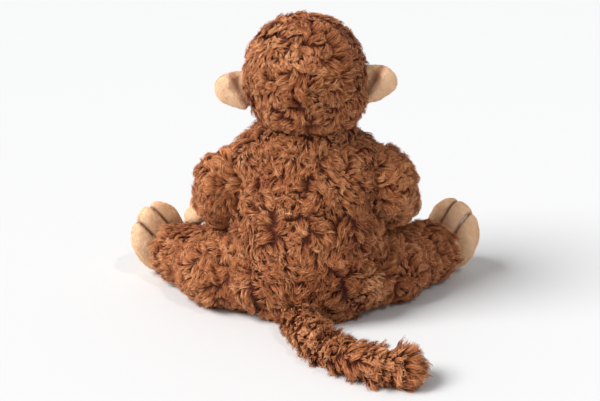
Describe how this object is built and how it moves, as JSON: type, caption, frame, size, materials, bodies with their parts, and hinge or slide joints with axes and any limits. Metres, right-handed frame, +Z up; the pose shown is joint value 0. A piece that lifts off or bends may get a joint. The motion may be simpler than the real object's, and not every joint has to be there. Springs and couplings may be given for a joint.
{
  "type": "stuffed monkey",
  "caption": "Long-pile plush monkey sitting upright with splayed legs, round head, cupped tan ears, tan hands and feet, and a tufted tail curling back along the floor.",
  "frame": {"origin": "On the floor at the middle of the seat, where the sitting monkey rests.", "axes": "+Z is up, the monkey faces -Y, its left side is +X and its tail runs back along +Y."},
  "size_m": [0.3496, 0.2827, 0.283],
  "materials": {
    "brown_fur": "long curly pile",
    "tan_plush": "short brushed pile",
    "stuffing": "fibre fill",
    "bag_cloth": "plain weave",
    "eye_plastic": "polished dome",
    "washer_plastic": "moulded",
    "dark_thread": "satin stitch"
  },
  "bodies": {
    "torso": {"torso_stuffing": "stuffing", "back_left_panel": "brown_fur", "back_right_panel": "brown_fur", "belly_panel": "brown_fur", "seat_panel": "brown_fur", "seat_bean_bag": "bag_cloth"},
    "neck": {"neck_stuffing": "stuffing", "neck_band": "brown_fur"},
    "head": {"head_stuffing": "stuffing", "head_left_panel": "brown_fur", "head_right_panel": "brown_fur", "face_panel": "tan_plush", "muzzle_panel": "tan_plush", "muzzle_stuffing": "stuffing", "nose": "dark_thread", "mouth_stitching": "dark_thread", "left_eye": "eye_plastic", "right_eye": "eye_plastic", "left_eye_washer": "washer_plastic", "right_eye_washer": "washer_plastic"},
    "left_ear": {"left_ear_back": "tan_plush", "left_ear_front": "tan_plush"},
    "right_ear": {"right_ear_back": "tan_plush", "right_ear_front": "tan_plush"},
    "left_arm": {"left_arm_stuffing": "stuffing", "left_arm_outer_panel": "brown_fur", "left_arm_inner_panel": "brown_fur", "left_hand_back": "tan_plush", "left_hand_palm": "tan_plush"},
    "right_arm": {"right_arm_stuffing": "stuffing", "right_arm_outer_panel": "brown_fur", "right_arm_inner_panel": "brown_fur", "right_hand_back": "tan_plush", "right_hand_palm": "tan_plush"},
    "left_leg": {"left_leg_stuffing": "stuffing", "left_leg_front_panel": "brown_fur", "left_leg_rear_panel": "brown_fur", "left_foot_top": "tan_plush", "left_foot_sole": "tan_plush"},
    "right_leg": {"right_leg_stuffing": "stuffing", "right_leg_front_panel": "brown_fur", "right_leg_rear_panel": "brown_fur", "right_foot_top": "tan_plush", "right_foot_sole": "tan_plush"},
    "tail": {"tail_stuffing": "stuffing", "tail_skin": "brown_fur"}
  },
  "joints": [
    {"name": "head_turn", "type": "hinge", "parent": "torso", "child": "neck", "pos_m": [0.001, -0.002, 0.168], "axis": [0, 0, 1], "range_deg": [-40, 40], "stiffness_Nm_per_rad": 0.3},
    {"name": "head_nod", "type": "hinge", "parent": "neck", "child": "head", "pos_m": [0.001, -0.002, 0.229], "axis": [0.9986, 0, -0.0523], "range_deg": [-15, 14], "stiffness_Nm_per_rad": 0.6},
    {"name": "left_ear_fold", "type": "hinge", "parent": "head", "child": "left_ear", "pos_m": [0.05629, -0.002, 0.21409], "axis": [0.0523, 0, 0.9986], "range_deg": [-30, 30], "stiffness_Nm_per_rad": 0.03},
    {"name": "right_ear_fold", "type": "hinge", "parent": "head", "child": "right_ear", "pos_m": [-0.05555, -0.002, 0.21995], "axis": [-0.0523, 0, -0.9986], "range_deg": [-30, 30], "stiffness_Nm_per_rad": 0.03},
    {"name": "left_arm_raise", "type": "hinge", "parent": "torso", "child": "left_arm", "pos_m": [0.074, -0.004, 0.122], "axis": [-1, 0, 0], "range_deg": [0, 100]},
    {"name": "right_arm_raise", "type": "hinge", "parent": "torso", "child": "right_arm", "pos_m": [-0.074, -0.004, 0.122], "axis": [-1, 0, 0], "range_deg": [0, 100]},
    {"name": "left_leg_spread", "type": "hinge", "parent": "torso", "child": "left_leg", "pos_m": [0.054, 0.012, 0.0348], "axis": [0, 0, 1], "range_deg": [-14, 14]},
    {"name": "right_leg_spread", "type": "hinge", "parent": "torso", "child": "right_leg", "pos_m": [-0.054, 0.006, 0.0348], "axis": [0, 0, -1], "range_deg": [-14, 14]},
    {"name": "tail_swing", "type": "hinge", "parent": "torso", "child": "tail", "pos_m": [0.008, 0.052, 0.014], "axis": [0, 0, 1], "range_deg": [-22, 22]}
  ]
}
